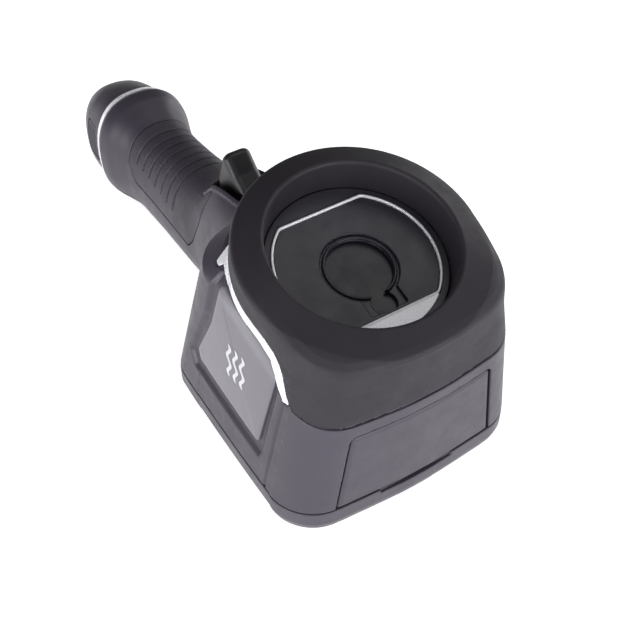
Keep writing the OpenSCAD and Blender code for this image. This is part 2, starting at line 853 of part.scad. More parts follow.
front_housing();
rear_housing();
front_bumper();
lens_bezel();
lens_trim_ring();
lens_front_plate();
lens_cover_blade();
lens_cover_lever();
lens_cover_pin();
ir_lens();
ir_lens_barrel();
detector_housing();
detector_chip();
core_bracket();
shutter_actuator();
shutter_flag();
visual_camera_lens();
visual_camera_module();
side_trim_left();
side_trim_right();
side_panel_left();
side_panel_right();
grip_inlay();
trigger();
trigger_pin();
trigger_spring();
trigger_switch();
usb_flap();
usb_socket();
battery_case();
battery_cell();
battery_end_cap();
battery_trim_ring();
latch_button_left();
latch_button_right();
battery_contacts();
display_window();
display_gasket();
display_panel();
power_button();
archive_button();
cancel_button();
select_button();
nav_ring();
nav_rocker();
keypad_mat();
main_board();
housing_screws();
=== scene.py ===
"""Thermal imaging camera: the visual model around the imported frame."""
import json
from math import asin, atan2, cos, hypot, pi, radians, sin
import bpy
import numpy as np
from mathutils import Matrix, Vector


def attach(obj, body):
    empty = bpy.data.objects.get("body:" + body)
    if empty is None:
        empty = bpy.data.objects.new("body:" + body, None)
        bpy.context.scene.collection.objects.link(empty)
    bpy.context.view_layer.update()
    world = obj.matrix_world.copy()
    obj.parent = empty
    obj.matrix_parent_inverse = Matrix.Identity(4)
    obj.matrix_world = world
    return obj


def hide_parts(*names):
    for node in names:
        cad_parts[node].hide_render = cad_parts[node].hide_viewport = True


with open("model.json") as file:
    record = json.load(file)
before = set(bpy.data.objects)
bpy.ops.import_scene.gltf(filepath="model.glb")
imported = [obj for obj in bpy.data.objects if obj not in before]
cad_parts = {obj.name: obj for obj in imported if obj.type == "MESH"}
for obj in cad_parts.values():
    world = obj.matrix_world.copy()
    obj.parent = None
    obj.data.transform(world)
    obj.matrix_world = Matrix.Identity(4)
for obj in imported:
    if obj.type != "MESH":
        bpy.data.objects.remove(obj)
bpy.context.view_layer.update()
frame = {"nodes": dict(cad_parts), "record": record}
MM = 0.001

# ---------- shape values, in millimetres, in the CAD frame ----------

# The lens frame leans towards -y by TILT about the middle of the bumper's rim
TILT = radians(15.5)
COS_T, SIN_T = cos(TILT), sin(TILT)
LENS_Y, LENS_Z = -81.5, 89.0

# Heights of the head's outlines: the seam in the CAD frame, the others in the lens frame
SEAM_Z, SKIRT, STRIP, NECK, EDGE = 9.8, -27.5, -19.2, -14.2, -5.7
# y that the seam's circles are measured from
SEAM_MID = -70.0
# Radii of the bumper's round top and of its bore at the rim
BUMPER_R, RIM_R = 42.2, 31.8
# The CAD's walls have flat facets, so the round walls are this much smaller in x and y
FACET_X, FACET_Y = 1.0005, 1.0018


def mirror_circle(q):
    """The circle [x, y, radius] on the other side."""
    return [-q[0], q[1], q[2]]


def symmetric(crown, corner, shoulder, back):
    """Circles round the head, from the front over the right to the back and over the left."""
    return [crown, corner, shoulder, back, mirror_circle(shoulder), mirror_circle(corner)]


def round_side(crown, corner, r):
    """Circles of an outline whose back half is one arc of radius r."""
    return symmetric(crown, corner, [0.2, 0, r - 0.2], [0, 0.01, r - 0.2])


SEAM_C = symmetric([0, 32, 150], [30.7, -98.5, 17.5], [33.3, -33.2, 12.2], [0, -49.6, 29.6])
SKIRT_C = symmetric([0, 103, 150], [25.3, -28.5, 16.5], [23.5, 22, 18], [0, 12, 29])
STRIP_C = round_side([0, 75, 120], [22.7, -24.4, 18.3], BUMPER_R - 0.4)
NECK_C = round_side([0, 61.1, 105], [21.2, -21.9, 19.4], BUMPER_R - 0.3)
EDGE_C = round_side([0, 47.7, 90], [19.2, -18.7, 20.9], BUMPER_R)

ANGLES = np.radians(np.arange(-94.0, 94.1, 2.0))
NX, NY = np.cos(ANGLES), np.sin(ANGLES)

# Outlines in side view: the bumper and strip in the lens frame, the rest in the CAD frame
BUMPER_EDGE = [(60, -14.1), (-10, -14.1), (-15, -14.8), (-19, -16.8), (-23, -21.4),
               (-26, -25.4), (-30, -27.4), (-80, -27.4)]
STRIP_EDGE = [(27, -23.0), (24.6, -22.4), (23.4, -20.6), (10, -19.1), (-8, -18.3), (-14.5, -19.3),
              (-18.6, -23.0), (-21.8, -27.2), (-25.5, -29.3), (-28.2, -27.7)]
PANEL_RECESS = [(-90.5, 19.5), (-42, 22.3), (-37.8, 28), (-49.8, 56), (-55.5, 80),
                (-67, 80), (-84, 76), (-95.5, 70), (-96.3, 60)]
PANEL = [(-87.3, 25), (-46, 28.3), (-43.9, 32), (-53.4, 52), (-59.2, 73.4),
         (-66.8, 72.3), (-84, 68.3), (-90.3, 65.8), (-93.6, 61.5)]
INLAY = [(14, 25), (62, 25), (67, 32), (68.5, 60), (1.5, 72), (0.5, 56), (3, 44), (9, 31)]
TRIGGER = [(-29, 53.6), (-8, 51.4), (5.4, 51.4), (6.6, 60), (2.6, 71), (0.6, 73.4), (-1.6, 73.2),
           (-7.3, 68.2), (-14, 63.6), (-20, 61.9), (-27, 62)]
# The flap from the front, running on below the seam
FLAP = [(-34.4, -6.0), (34.4, -6.0), (27.9, 45), (-27.9, 45)]

# Sections across the handle: y, half width, bottom, top
GRIP = np.array([
    (-45, 27, 2, 74), (-30, 24, 2, 69), (-18, 20.5, 2, 66.5), (-6, 18.2, 2.2, 65),
    (2, 17.2, 2.8, 62.5), (8, 16.8, 3.2, 56.5), (14, 16.6, 3.5, 52), (22, 16.3, 3.5, 49.8),
    (32, 16, 3.5, 48.4), (46, 15.6, 3.5, 46.6), (60, 15.6, 3.5, 45.5), (67, 16.2, 3, 46.3),
    (74, 18.3, 2, 49.2), (80, 20.3, 1, 51.3), (84, 20.8, 0.6, 51.6), (86.6, 20, 1, 50.6),
    (90, 18.6, 1, 49)])
CAP = np.array([
    (86, 19.9, 0.8, 50.5), (90, 18.7, 0.9, 49.2), (96, 18.4, 0.2, 47.8), (104, 17.6, 0.1, 45.4),
    (111, 15.6, 0.6, 42), (116, 13, 2.4, 38), (119, 9.5, 6, 33.5), (120.7, 4, 13, 27),
    (121.5, 1.2, 17, 23)])
GRIP_POWER = 2.4
GRIP_START, GRIP_END = -66, 86.85

PIVOT = (27.5, 14.5)
EYE_Y, CAM_Y = -1.6, -16.3
TRIGGER_Y, TRIGGER_Z = -27, 58
CASE_Z = 24.6
LATCH_Y, LATCH_Z = 98.5, 26
RIB_TOPS = [61.2 - 5.6 * i for i in range(7)]
NECK_SCREW = (13.4, -6)
CASE_SCREW_X, CASE_SCREWS_Y = 41, (-104, -50)

# ---------- distance functions ----------


def support(circles, shift=0.0):
    """How far the outline of these circles reaches in each direction, moved by shift along y."""
    starts = []
    for i, b in enumerate(circles):
        a = circles[i - 1]
        dx, dy = b[0] - a[0], b[1] - a[1]
        starts.append(atan2(dy, dx) - pi / 2 + asin((a[2] - b[2]) / hypot(dx, dy)))
    reach = []
    for w in ANGLES:
        x, y, r = circles[min(range(len(circles)), key=lambda i: (w - starts[i]) % (2 * pi))]
        reach.append(x * cos(w) + (y + shift) * sin(w) + r)
    return np.array(reach)


H_SEAM = support(SEAM_C, -SEAM_MID)
H_SKIRT, H_STRIP, H_NECK, H_EDGE = (support(c) for c in (SKIRT_C, STRIP_C, NECK_C, EDGE_C))


CHUNK = 60000


def outline_distance(x, v, weights, reaches):
    """Distance to the outline blended from the rows of reaches, one array of weights for each."""
    basis = np.stack([np.abs(x), v] + [-w for w in weights], 1).astype(np.float32)
    rows = np.stack([NX, NY] + list(reaches)).astype(np.float32)
    out = np.empty(len(x))
    for a in range(0, len(x), CHUNK):
        m = basis[a:a + CHUNK] @ rows
        i = np.clip(m.argmax(1), 1, m.shape[1] - 2)
        k = np.arange(len(m))
        low, mid, high = m[k, i - 1], m[k, i], m[k, i + 1]
        bend = np.minimum(low - 2 * mid + high, -1e-6)
        out[a:a + CHUNK] = mid - np.clip((high - low) ** 2 / (8 * bend), -0.5, 0)
    return out


def lens_frame(y, z):
    """The same point's y and z in the lens frame."""
    return ((y - LENS_Y) * COS_T + (z - LENS_Z) * SIN_T,
            -(y - LENS_Y) * SIN_T + (z - LENS_Z) * COS_T)


def smax(a, b, k):
    """The larger of two distances, with the edge between them rounded over about k."""
    h = np.maximum(k - np.abs(a - b), 0) / k
    return np.maximum(a, b) + h * h * k / 4


def smin(a, b, k):
    """The smaller of two distances, with the hollow between them filled over about k."""
    return -smax(-a, -b, k)


def ramp(t, a, b):
    """0 before a, 1 after b."""
    return np.clip((t - a) / (b - a), 0, 1)


def soft(t):
    return t * t * (3 - 2 * t)


def poly(pts, u, v):
    """Signed distance to a polygon, negative inside."""
    d = np.full(np.shape(u), 1e9)
    sign = np.ones(np.shape(u))
    n = len(pts)
    for i in range(n):
        (ax, ay), (bx, by) = pts[i], pts[i - 1]
        ex, ey = bx - ax, by - ay
        wx, wy = u - ax, v - ay
        t = np.clip((wx * ex + wy * ey) / (ex * ex + ey * ey), 0, 1)
        d = np.minimum(d, (wx - ex * t) ** 2 + (wy - ey * t) ** 2)
        up, down, left = v >= ay, v < by, ex * wy > ey * wx
        sign = np.where((up & down & left) | (~up & ~down & ~left), -sign, sign)
    return sign * np.sqrt(d)


def shrink(pts, r):
    """The polygon with every side moved in by r."""
    area = sum(a[0] * b[1] - b[0] * a[1] for a, b in zip(pts, pts[1:] + pts[:1]))
    s = r if area > 0 else -r
    out = []
    for i in range(len(pts)):
        (ax, ay), (bx, by), (cx, cy) = pts[i - 1], pts[i], pts[(i + 1) % len(pts)]
        l1, l2 = hypot(bx - ax, by - ay), hypot(cx - bx, cy - by)
        n1 = (-(by - ay) / l1, (bx - ax) / l1)
        n2 = (-(cy - by) / l2, (cx - bx) / l2)
        k = s / (1 + n1[0] * n2[0] + n1[1] * n2[1])
        out.append((bx + k * (n1[0] + n2[0]), by + k * (n1[1] + n2[1])))
    return out


def rounded(pts, r, u, v):
    """Distance to the polygon with its corners rounded to radius r."""
    return poly(shrink(pts, r), u, v) - r


def round_rect(x, y, w, h, r):
    qx, qy = np.abs(x) - w / 2 + r, np.abs(y) - h / 2 + r
    return np.hypot(np.maximum(qx, 0), np.maximum(qy, 0)) + np.minimum(np.maximum(qx, qy), 0) - r


def capsule(x, y, a, b, r):
    ex, ey = b[0] - a[0], b[1] - a[1]
    t = np.clip(((x - a[0]) * ex + (y - a[1]) * ey) / (ex * ex + ey * ey), 0, 1)
    return np.hypot(x - a[0] - ex * t, y - a[1] - ey * t) - r


def slab(z, low, high):
    """Distance to the layer between two levels."""
    return np.abs(z - (low + high) / 2) - (high - low) / 2


def wall_distance(x, y, z):
    """Distance to the head's side wall, which runs on above the rim and below the seam."""
    x, y = x * FACET_X, y * FACET_Y
    yr, zr = lens_frame(y, z)
    d = np.empty(len(x))
    low = zr <= SKIRT
    if low.any():
        xl, yl, zl = x[low], y[low], z[low]
        rise = zl - SEAM_Z
        t = np.clip(rise / (rise + SKIRT - zr[low]), 0, 1)
        oy = SEAM_MID + t * (LENS_Y - SKIRT * SIN_T - SEAM_MID)
        oz = SEAM_Z + t * (LENS_Z + SKIRT * COS_T - SEAM_Z)
        ey, ez = 1 - t + t * COS_T, t * SIN_T
        v = ((yl - oy) * ey + (zl - oz) * ez) / (ey * ey + ez * ez)
        v = np.where(rise < 0, yl - SEAM_MID, v)
        d[low] = outline_distance(xl, v, [1 - t, t], [H_SEAM, H_SKIRT])
    high = ~low
    if high.any():
        r = zr[high]
        a, b, c = ramp(r, SKIRT, STRIP), ramp(r, STRIP, NECK), ramp(r, NECK, EDGE)
        d[high] = outline_distance(x[high], yr[high], [1 - a, a - b, b - c, c],
                                   [H_SKIRT, H_STRIP, H_NECK, H_EDGE])
    return d


def edge_distance(x, yr):
    """Distance to the bumper's outer edge, in plan."""
    return outline_distance(x, yr, [np.ones(len(x))], [H_EDGE])


RIDGE_R, RIM_BAND, RIM_DROP, FALL = 33.0, 3.4, 2.4, 0.3


def head(x, y, z):
    """The head up to the bumper's top face, which drops from the rim to a band along the edge."""
    wall = wall_distance(x, y, z)
    yr, zr = lens_frame(y, z)
    d = wall.copy()
    near = zr > -14
    if near.any():
        xn, yn, zn = x[near], yr[near], zr[near]
        rho = np.hypot(xn, yn)
        inside = -edge_distance(xn, yn)
        fall = FALL * np.maximum(0, rho - BUMPER_R)
        outer = -RIM_DROP - 0.45 * (RIM_BAND - inside) - fall
        a, b = np.maximum(rho - RIDGE_R, 0), np.maximum(inside - RIM_BAND, 0)
        inner = -0.2 - (a / (a + b + 1e-6)) * (2.2 + fall)
        top = np.where(inside < RIM_BAND, outer, inner)
        d[near] = smax(wall[near], (zn - top) * 0.93, 1.5)
    return d


def stations(table, y):
    """Half width, bottom and top at y, on smooth curves through the table."""
    t = table[:, 0]
    out = []
    for c in (1, 2, 3):
        p = table[:, c]
        step = np.diff(p) / np.diff(t)
        m = np.zeros(len(p))
        same = step[:-1] * step[1:] > 0
        m[1:-1][same] = (2 * step[:-1] * step[1:] / np.where(same, step[:-1] + step[1:], 1))[same]
        m[0], m[-1] = step[0], step[-1]
        i = np.clip(np.searchsorted(t, y) - 1, 0, len(t) - 2)
        h = t[i + 1] - t[i]
        s = np.clip((y - t[i]) / h, 0, 1)
        out.append((2 * s ** 3 - 3 * s ** 2 + 1) * p[i] + (s ** 3 - 2 * s ** 2 + s) * h * m[i]
                   + (3 * s ** 2 - 2 * s ** 3) * p[i + 1] + (s ** 3 - s ** 2) * h * m[i + 1])
    return out


def tube(table, x, y, z):
    """Distance to a handle-like body with a superellipse section."""
    a, low, high = stations(table, y)
    b, zc = (high - low) / 2, (high + low) / 2
    u, w = np.abs(x) / a + 1e-4, np.abs(z - zc) / b + 1e-4
    f = (u ** GRIP_POWER + w ** GRIP_POWER) ** (1 / GRIP_POWER)
    gx, gz = (u / f) ** (GRIP_POWER - 1) / a, (w / f) ** (GRIP_POWER - 1) / b
    return (f - 1) / np.hypot(gx, gz)


def grip_tube(x, y, z):
    """The handle, which starts inside the head."""
    return np.maximum(tube(GRIP, x, y, z), GRIP_START - y)


def bumper_zone(yr, zr):
    """Distance to the side view of all that belongs to the bumper."""
    return poly(BUMPER_EDGE + [(-80, 30), (60, 30)], yr, zr)


STRIP_ZONE = [(y, z - 0.05) for y, z in BUMPER_EDGE[1:6]] + STRIP_EDGE[::-1] + [(33.5, -14.15)]
STRIP_INNER_X = 16
LEVER_TOP, LEVER_LOW, LEVER_HUB_R = -19.6, -21.9, 7.2
LEVER_FROM, LEVER_TO = radians(36), radians(120)


def lever_space(x, yr, zr, low=LEVER_LOW):
    """The room that the lens cover's lever sweeps."""
    px, py = x - PIVOT[0], yr - PIVOT[1]
    a, b = LEVER_FROM, LEVER_TO
    wedge = np.maximum(-(cos(a) * py - sin(a) * px), -(px * sin(b) - py * cos(b)))
    plan = np.minimum(wedge, np.hypot(px, py) - LEVER_HUB_R)
    return np.maximum(plan, slab(zr, low, LEVER_TOP))


def strip_block(x, yr, zr, grow):
    """The bright strips' side view, grown all round, on both sides."""
    return np.maximum(rounded(STRIP_ZONE, 0.3, yr, zr) - grow, STRIP_INNER_X - grow - np.abs(x))


TRIGGER_SLOT = [(-38, 46), (8.4, 46), (8.4, 95), (-23, 95), (-30, 67), (-38, 67)]


def trigger_slot(x, y, z):
    return smax(rounded(TRIGGER_SLOT, 1.5, y, z), np.abs(x) - 8.8, 1.5)


def line_groove(u, v, a, b, width, depth):
    """Depth of a soft groove along the line from a to b."""
    return depth * np.exp(-(np.maximum(capsule(u, v, a, b, 0), 0) / width) ** 2)


HOUSING_SIDE, PANEL_DENT = 28, 1.5
CHEEK_LINE = ((-98.8, 56), (-93.6, 6))
BARREL_R, TONGUE_R, LENS_HOLE_R = 36.3, 37.2, 28.6


def head_skin(x, y, z, wall, zr):
    """The head's wall, with the panel's recess and the groove beside it."""
    side = np.abs(x) > HOUSING_SIDE
    recess = rounded(PANEL_RECESS, 3.0, y, z)
    dent = PANEL_DENT * soft(ramp(-recess, -0.2, 2.4)) * side
    dent += line_groove(y, z, *CHEEK_LINE, 0.55, 0.6) * side * (zr < -27)
    return wall + dent


def bumper_seat(body, wall, zone, rho, zr):
    """Cuts the body back to the bumper and lens, and adds the tongue under the bumper's edge."""
    body = smax(body, 0.15 - zone, 0.5)
    tongue = np.maximum(np.maximum(wall + 1.1, np.abs(zone + 0.2) - 1.2), TONGUE_R - rho)
    body = np.minimum(body, tongue)
    body = smax(body, -np.maximum(rho - BARREL_R, slab(zr, -50, -15)), 0.5)
    body = smax(body, LENS_HOLE_R - rho - 50 * (zr < -20), 0.4)
    return smax(body, zr + 13.3 - 30 * (rho > TONGUE_R), 0.4)


def front_housing(x, y, z):
    wall = wall_distance(x, y, z)
    yr, zr = lens_frame(y, z)
    shell = smax(head_skin(x, y, z, wall, zr), zr + 5, 0.6)
    grip = grip_tube(x, y, z)
    handle = smax(grip, y - 86.7, 0.6)
    body = smin(shell, handle, 4.0 + 9.0 * ramp(z, 25, 55))
    body = bumper_seat(body, wall, bumper_zone(yr, zr), np.hypot(x, yr), zr)
    body = smax(body, -np.maximum(strip_block(x, yr, zr, 0.18), -wall - 1.7), 0.35)
    body = smax(body, -lever_space(x, yr, zr), 0.5)
    flap = np.maximum(rounded(FLAP, 2.2, x, z) - 0.4, y + 113.6)
    body = smax(body, -flap, 0.6)
    slot = trigger_slot(x, y, z)
    inlay = np.maximum(rounded(INLAY, 3.0, y, z), -grip - 1.6)
    body = smax(body, -np.maximum(inlay, 1.5 - slot), 0.5)
    lip = np.maximum(smax(slot - 1.5, 48 - z, 0.5), grip - 0.5)
    body = smin(body, np.maximum(lip, -30 - y), 0.8)
    body = smax(body, -slot, 0.6)
    bay = np.maximum(round_rect(x, z - CASE_Z, 23.8, 29.4, 5), 10 - y)
    body = smax(body, -bay, 0.5)
    return smax(body, 10.1 - z, 0.7)


def rear_housing(x, y, z):
    wall = wall_distance(x, y, np.minimum(z, SEAM_Z))
    inset = np.interp(z, [0, 1, 4], [2.8, 1.0, 0])
    handle = smax(grip_tube(x, y, z), y - GRIP_END, 0.6)
    body = smax(smin(wall + inset, handle, 5.0), -z, 1.6)
    body = smax(body, z - 9.5, 0.6)
    keypad = smax(round_rect(x, y + 34, 76, 46, 12), z - 2, 1.2)
    body = smax(body, -keypad, 0.8)
    window = np.maximum(round_rect(x, y + 85.5, 66.4, 50.4, 3), z - 1.75)
    body = smax(body, -window, 0.4)
    ring = np.hypot(x, y + 40) - 12.4
    side_keys = round_rect(np.abs(x) - 26, y + 42, 12.8, 7.8, 3.4)
    power_key = round_rect(x, y + 18, 11.8, 7.2, 3.3)
    keys = np.minimum(np.minimum(ring, side_keys), power_key)
    body = smax(body, -np.maximum(keys, z - 7), 0.5)
    neck_screw = np.hypot(np.abs(x) - NECK_SCREW[0], y - NECK_SCREW[1])
    # A boss round each neck screw, which stands beside the narrow part of the handle
    body = smin(body, smax(neck_screw - 4.3, slab(z, 0.5, 9.4), 0.8), 3.0)
    along = np.minimum(*(np.abs(y - screw_y) for screw_y in CASE_SCREWS_Y))
    screws = np.minimum(np.hypot(np.abs(x) - CASE_SCREW_X, along), neck_screw) - 2.8
    body = smax(body, -np.maximum(screws, z - 3.6), 0.4)
    notch = np.maximum(np.maximum(np.abs(x) - 15.0, y + 115.9), 8.1 - z)
    return smax(smax(body, -notch, 0.5), -120.7 - y, 0.1)


def seam_shade_sheet(x, y, z):
    """A dark sheet behind the seam between the two housings, standing in as painted shade in the gap.
    """
    wall = wall_distance(x, y, z)
    skin = smin(wall, smax(grip_tube(x, y, z), y - 86.6, 0.4), 5.0)
    shade_sheet = np.maximum(skin + 0.9, -skin - 2.6)
    shade_sheet = np.maximum(shade_sheet, -np.maximum(np.abs(x) - 34, y + 112))
    return np.maximum(shade_sheet, slab(z, 9.2, 10.5))


def front_bumper(x, y, z):
    yr, zr = lens_frame(y, z)
    rho = np.hypot(x, yr)
    body = smax(head(x, y, z), bumper_zone(yr, zr) + 0.12, 0.6)
    bore = np.interp(zr, [-13.3, 0], [31.0, RIM_R])
    body = smax(body, bore - rho, 1.4)
    inner = np.maximum(edge_distance(x, yr) + 4.3, zr + 13.25)
    return smax(body, -inner, 0.4)


def side_trim(x, y, z):
    yr, zr = lens_frame(y, z)
    wall = wall_distance(x, y, z)
    return smax(smax(wall + 0.05, strip_block(x, yr, zr, -0.02), 0.5), -wall - 1.6, 0.3)


def side_trim_right(x, y, z):
    yr, zr = lens_frame(y, z)
    return smax(side_trim(x, y, z), -lever_space(x, yr, zr, -30), 0.4)


def grip_inlay(x, y, z):
    grip = grip_tube(x, y, z)
    ribs = np.zeros(len(x))
    for i, top in enumerate(RIB_TOPS):
        end = 35.5 - 0.25 * i
        ribs += 1.3 * np.exp(-((y - top) / 0.5) ** 2) * soft(ramp(z, end - 0.8, end + 0.8))
    body = smax(grip + ribs + 0.02, rounded(INLAY, 3.0, y, z) + 0.28, 0.6)
    body = smax(body, -grip - 1.55, 0.3)
    return smax(body, -trigger_slot(x, y, z) + 1.7, 0.6)


def trigger(x, y, z):
    side = rounded(TRIGGER, 2.0, y, z)
    body = smax(side, np.abs(x) - 5.6, 3.6)
    pin = np.hypot(y - TRIGGER_Y, z - TRIGGER_Z)
    body = smin(body, smax(pin - 4.4, np.abs(x) - 5.6, 0.8), 1.0)
    body = smax(body, 1.56 - pin, 0.2)
    # Deep enough for the spring, which the pulled trigger comes down over
    pocket = np.maximum(np.maximum(np.abs(x) - 3.2, slab(y, -24, -12)), z - 55.4)
    return smax(body, -pocket, 0.3)


def end_cap(x, y, z):
    body = smax(smax(tube(CAP, x, y, z), 90.2 - y, 0.6), y - 120.7, 1.0)
    pocket = round_rect(y - LATCH_Y, z - LATCH_Z, 10.8, 16.8, 2.0)
    return smax(body, -np.maximum(pocket, 13.4 - np.abs(x)), 0.5)


def band(x, y, z):
    case = round_rect(x, z - CASE_Z, 23.2, 28.6, 5)
    return smax(smax(tube(CAP, x, y, z) - 0.75, slab(y, 86.95, 90.0), 0.5), -case, 0.3)


def latch(x, y, z):
    v, w = y - LATCH_Y, z - LATCH_Z
    ribs = 0.8 * (0.5 + 0.5 * np.cos(v * 2 * pi / 1.9)) * ramp(3.9 - np.abs(v), 0, 0.5)
    face = tube(CAP, x, y, z) + 0.25 + ribs * ramp(7.0 - np.abs(w), 0, 0.8)
    return smax(smax(face, round_rect(v, w, 10, 16, 1.8), 0.6), 15.2 - x, 0.4)


def usb_flap(x, y, z):
    wall = wall_distance(x, y, z)
    edge = smax(rounded(FLAP, 2.2, x, z) + 0.3, 10.1 - z, 0.4)
    face = wall + 0.05 + 0.35 * (1 - soft(ramp(-edge, 0.2, 1.6)))
    back = -wall - 2.3
    plate = smax(smax(smax(face, edge, 0.7), back, 0.3), y + 114.0, 0.3)
    plug = smax(round_rect(x, z - 24, 16, 9, 3), slab(y, -116.6, -114.8), 0.6)
    return np.minimum(plate, plug)


def lens_bezel(x, y, z):
    rho = np.hypot(x, y)
    body = smax(slab(z, -13.2, -12.4), rho - 30.8, 0.3)
    cut = np.maximum(rho - 28.35, slab(y, -22.15, 23.25))
    return smax(body, -cut, 0.25)


def trim_ring(x, y, z):
    rho = np.hypot(x, y)
    plan = smax(rho - 28.3, slab(y, -22.1, 23.2), 0.6)
    hole = smax(rho - 27.4, slab(y, -21.2, 22.3), 0.6)
    ring = smax(smax(plan, -hole, 0.1), slab(z, -13.2, -11.9), 0.4)
    wide = smax(smax(rho - 28.3, y + 22.1, 0.3), slab(z, -12.4, -12.0), 0.2)
    return np.minimum(ring, wide)


def lens_plate(x, y, z):
    rho = np.hypot(x, y)
    plan = smax(rho - 27.33, slab(y, -21.13, 22.23), 0.4)
    body = smax(plan, slab(z, -14.6, -12.6), 0.25)
    eye = np.hypot(x, y - EYE_Y)
    dish = smin(eye - 13.2, round_rect(x, y + 13.8, 13.8, 11.6, 0.6), 0.6)
    body = smax(body, -np.maximum(dish, -13.7 - z), 0.5)
    rim = smax(slab(eye - 11.9, -0.45, 0.45), slab(z, -13.9, -12.8), 0.35)
    body = smin(body, rim, 0.3)
    body = smax(body, 11.2 - eye, 0.3)
    return smax(body, 4.4 - np.hypot(x, y - CAM_Y), 0.3)


def cover_blade(x, y, z):
    plan = np.minimum(np.hypot(x, y - EYE_Y) - 12.2, capsule(x, y, (0, EYE_Y), (0, CAM_Y), 5.3))
    plan = np.minimum(plan, capsule(x, y, (0, EYE_Y + 4), PIVOT, 3.6))
    body = smax(plan, slab(z, -16.2, -15.1), 0.35)
    return smax(body, 1.55 - np.hypot(x - PIVOT[0], y - PIVOT[1]), 0.2)


def cover_lever(x, y, z):
    a = radians(100)
    px, py = x - PIVOT[0], y - PIVOT[1]
    u, v = px * cos(a) + py * sin(a), -px * sin(a) + py * cos(a)
    plan = np.minimum(np.hypot(px, py) - 4, round_rect(u - 12.5, v, 25, 4.4, 1.2))
    grooves = 0.3 * (0.5 + 0.5 * np.cos(u * 2 * pi / 1.4)) * ramp(u, 18.5, 19.0)
    body = smax(plan, slab(z, -21.4, -20.1) + grooves, 0.3)
    return smax(body, 1.55 - np.hypot(px, py), 0.2)


# ---------- meshing ----------

BLOCK = 6
CORNERS = [(i, j, k) for i in (0, 1) for j in (0, 1) for k in (0, 1)]
CELL_EDGES = [(a, b) for a in range(8) for b in range(a + 1, 8)
              if sum(abs(p - q) for p, q in zip(CORNERS[a], CORNERS[b])) == 1]


def sample(f, low, high, h, even):
    """Grid of distances, worked out only near the surface. An even grid mirrors x >= 0."""
    counts = [int(np.ceil((b - a) / h / BLOCK)) * BLOCK for a, b in zip(low, high)]
    first = [h / 2 if even else low[0], low[1], low[2]]
    if even:
        counts[0] = int(np.ceil(high[0] / h / BLOCK)) * BLOCK
    axes = [first[i] + h * np.arange(counts[i]) for i in range(3)]
    mids = [a.reshape(-1, BLOCK).mean(1) for a in axes]
    centre = np.stack(np.meshgrid(*mids, indexing="ij"), -1).reshape(-1, 3)
    d = f(*centre.T)
    reach = BLOCK * h * 0.866 * 1.35 + h
    blocks = np.array([len(m) for m in mids])
    grid = np.repeat(np.repeat(np.repeat(
        np.where(d < 0, -9.0, 9.0).astype(np.float32).reshape(blocks),
        BLOCK, 0), BLOCK, 1), BLOCK, 2)
    at = np.stack(np.unravel_index(np.nonzero(np.abs(d) < reach)[0], blocks), 1) * BLOCK
    local = np.stack(np.meshgrid(*[np.arange(BLOCK)] * 3, indexing="ij"), -1).reshape(-1, 3)
    where = (at[:, None, :] + local[None]).reshape(-1, 3)
    value = f(*(axes[i][where[:, i]] for i in range(3)))
    grid[where[:, 0], where[:, 1], where[:, 2]] = value
    if even:
        grid = np.concatenate([grid[::-1], grid])
        first[0] = h / 2 - h * counts[0]
    return grid, np.array(first)


def gradient(f, p, e):
    """Slope of the distance at each point, from differences of e."""
    g = np.empty_like(p)
    for i in range(3):
        a, b = p.copy(), p.copy()
        a[:, i] += e
        b[:, i] -= e
        g[:, i] = (f(*a.T) - f(*b.T)) / (2 * e)
    return g


def surface(f, low, high, h, even=False):
    """Vertices, quads and vertex normals of the zero surface, by dual contouring on the grid."""
    grid, first = sample(f, low, high, h, even)
    inside = grid < 0
    count = sum(inside[i:inside.shape[0] - 1 + i, j:inside.shape[1] - 1 + j,
                       k:inside.shape[2] - 1 + k].astype(np.int8) for i, j, k in CORNERS)
    cells = np.stack(np.nonzero((count > 0) & (count < 8)), 1)
    number = np.full(count.shape, -1, np.int32)
    number[tuple(cells.T)] = np.arange(len(cells))
    corner = np.stack([grid[cells[:, 0] + i, cells[:, 1] + j, cells[:, 2] + k]
                       for i, j, k in CORNERS], 1)
    total, hits = np.zeros((len(cells), 3)), np.zeros(len(cells))
    for a, b in CELL_EDGES:
        fa, fb = corner[:, a], corner[:, b]
        cross = (fa < 0) != (fb < 0)
        t = np.where(cross, fa / np.where(cross, fa - fb, 1), 0)[:, None]
        point = np.array(CORNERS[a]) * (1 - t) + np.array(CORNERS[b]) * t
        total += point * cross[:, None]
        hits += cross
    verts = first + h * (cells + total / hits[:, None])
    quads = []
    for axis in range(3):
        u, v = (axis + 1) % 3, (axis + 2) % 3
        here, ahead = [slice(None)] * 3, [slice(None)] * 3
        here[axis], ahead[axis] = slice(0, -1), slice(1, None)
        e = np.stack(np.nonzero(inside[tuple(here)] != inside[tuple(ahead)]), 1)
        e = e[(e[:, u] > 0) & (e[:, v] > 0)]
        e = e[(e[:, u] < count.shape[u]) & (e[:, v] < count.shape[v])]
        corners = []
        for du, dv in ((-1, -1), (0, -1), (0, 0), (-1, 0)):
            c = e.copy()
            c[:, u] += du
            c[:, v] += dv
            corners.append(number[tuple(c.T)])
        q = np.stack(corners, 1)
        out = ~inside[tuple(e.T)]
        q[out] = q[out][:, ::-1]
        quads.append(q)
    quads = np.concatenate(quads)
    quads = quads[(quads >= 0).all(1)]
    for _ in range(2):
        g = gradient(f, verts, 0.05)
        d = f(*verts.T)
        step = g * (d / np.maximum((g * g).sum(1), 0.2))[:, None]
        size = np.linalg.norm(step, axis=1, keepdims=True)
        verts = verts - step * np.minimum(1, 0.45 * h / np.maximum(size, 1e-9))
    normal = gradient(f, verts, max(0.12, h * 0.25))
    normal /= np.maximum(np.linalg.norm(normal, axis=1, keepdims=True), 1e-9)
    return verts, quads, normal


